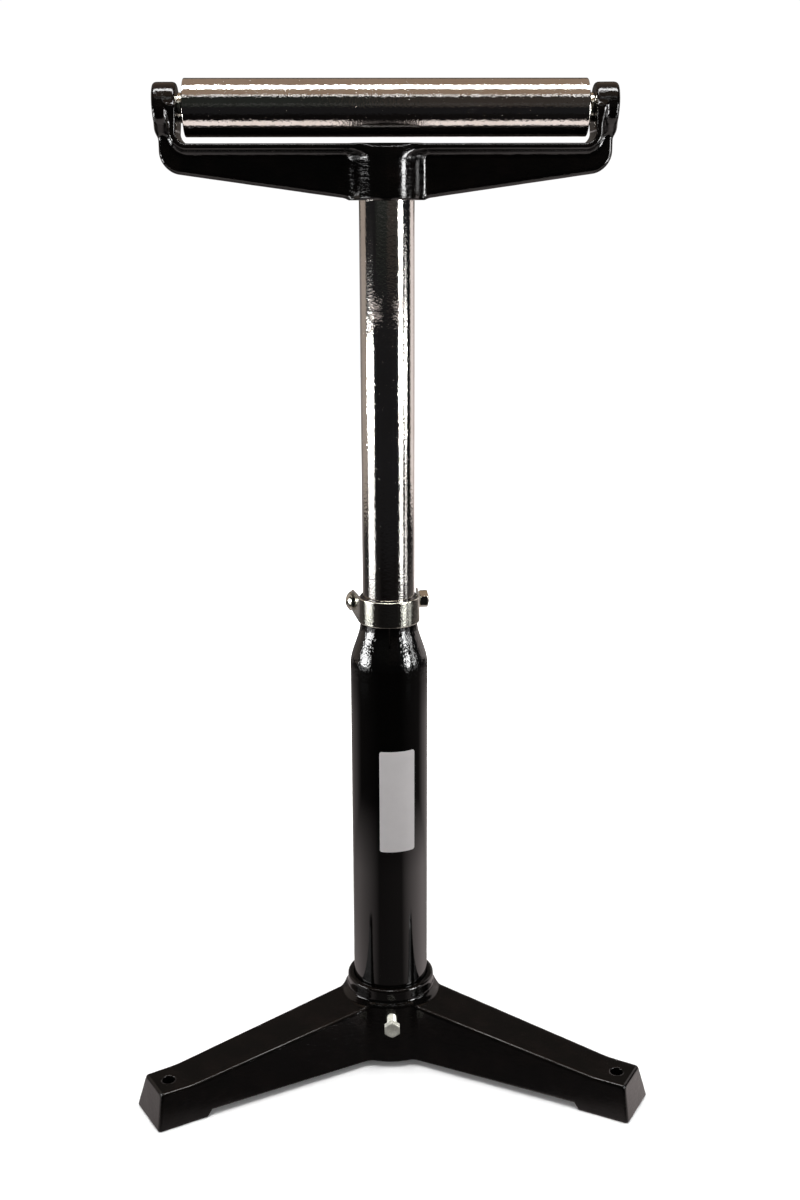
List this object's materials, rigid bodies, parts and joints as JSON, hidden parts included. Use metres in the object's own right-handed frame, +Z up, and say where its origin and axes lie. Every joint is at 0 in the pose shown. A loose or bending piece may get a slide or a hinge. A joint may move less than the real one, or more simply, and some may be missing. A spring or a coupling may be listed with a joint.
{
  "type": "roller stand",
  "caption": "Height-adjustable roller stand: cast tripod base, telescoping tube mast with a strap clamp, swivelling yoke head and a free-running steel roller.",
  "frame": {"origin": "on the floor, below the centre of the box that holds the whole stand; the mast's axis is 56.0 mm nearer the front, at y = -0.0560 m", "axes": "+Z up along the mast, X along the roller, +Y towards the rear leg; the two front legs and the base set screw face -Y"},
  "size_m": [0.4968, 0.4308, 0.949],
  "materials": {
    "casting_paint": "gloss black enamel over sand-cast iron",
    "tube_paint": "gloss black enamel over drawn steel tube",
    "zinc_plate": "bright zinc plating, slightly mottled",
    "polished_steel": "ground and polished, fine lengthwise and turned marks",
    "shaft_steel": "bright drawn steel",
    "bearing_steel": "ground bearing steel",
    "nylon": "moulded natural nylon"
  },
  "bodies": {
    "base": {"base_casting": "casting_paint", "outer_tube": "tube_paint", "base_set_screw": "zinc_plate", "clamp_strap": "zinc_plate", "clamp_bolt": "zinc_plate"},
    "nut": {"clamp_nut": "zinc_plate"},
    "slider": {"guide_bush": "nylon"},
    "mast": {"inner_tube": "polished_steel", "circlip_upper": "shaft_steel", "circlip_lower": "shaft_steel", "head_casting": "casting_paint", "head_set_screw": "zinc_plate", "axle": "shaft_steel", "axle_grub_screw_left": "shaft_steel", "axle_grub_screw_right": "shaft_steel", "spacer_left": "zinc_plate", "spacer_right": "zinc_plate", "bearing_inner_left": "bearing_steel", "bearing_inner_right": "bearing_steel"},
    "roller": {"roller_tube": "polished_steel", "bearing_outer_left": "bearing_steel", "bearing_outer_right": "bearing_steel", "bearing_shield_left": "bearing_steel", "bearing_shield_right": "bearing_steel"},
    "cage_left": {"bearing_cage_left": "nylon", "bearing_ball_left_1": "bearing_steel", "bearing_ball_left_2": "bearing_steel", "bearing_ball_left_3": "bearing_steel", "bearing_ball_left_4": "bearing_steel", "bearing_ball_left_5": "bearing_steel", "bearing_ball_left_6": "bearing_steel", "bearing_ball_left_7": "bearing_steel", "bearing_ball_left_8": "bearing_steel", "bearing_ball_left_9": "bearing_steel"},
    "cage_right": {"bearing_cage_right": "nylon", "bearing_ball_right_1": "bearing_steel", "bearing_ball_right_2": "bearing_steel", "bearing_ball_right_3": "bearing_steel", "bearing_ball_right_4": "bearing_steel", "bearing_ball_right_5": "bearing_steel", "bearing_ball_right_6": "bearing_steel", "bearing_ball_right_7": "bearing_steel", "bearing_ball_right_8": "bearing_steel", "bearing_ball_right_9": "bearing_steel"}
  },
  "joints": [
    {"name": "mast_height", "type": "slide", "parent": "base", "child": "slider", "axis": [0, 0, 1], "range_m": [-0.366, 0.022]},
    {"name": "mast_swivel", "type": "hinge", "parent": "slider", "child": "mast", "pos_m": [0, -0.05599, 0.3797], "axis": [0, 0, 1], "continuous": true},
    {"name": "roller_spin", "type": "hinge", "parent": "mast", "child": "roller", "pos_m": [0, -0.05599, 0.9243], "axis": [1, 0, 0], "continuous": true},
    {"name": "cage_left_spin", "type": "hinge", "parent": "mast", "child": "cage_left", "pos_m": [-0.1695, -0.05599, 0.9243], "axis": [1, 0, 0], "continuous": true},
    {"name": "cage_right_spin", "type": "hinge", "parent": "mast", "child": "cage_right", "pos_m": [0.1695, -0.05599, 0.9243], "axis": [1, 0, 0], "continuous": true},
    {"name": "clamp_nut_turn", "type": "hinge", "parent": "base", "child": "nut", "pos_m": [-0.00293, -0.02252, 0.4658], "axis": [0.9962, 0.0872, 0], "range_deg": [0, 360]}
  ],
  "couplings": [
    {"joint": "cage_left_spin", "follows": "roller_spin", "ratio": 0.60144},
    {"joint": "cage_right_spin", "follows": "roller_spin", "ratio": 0.60144}
  ]
}
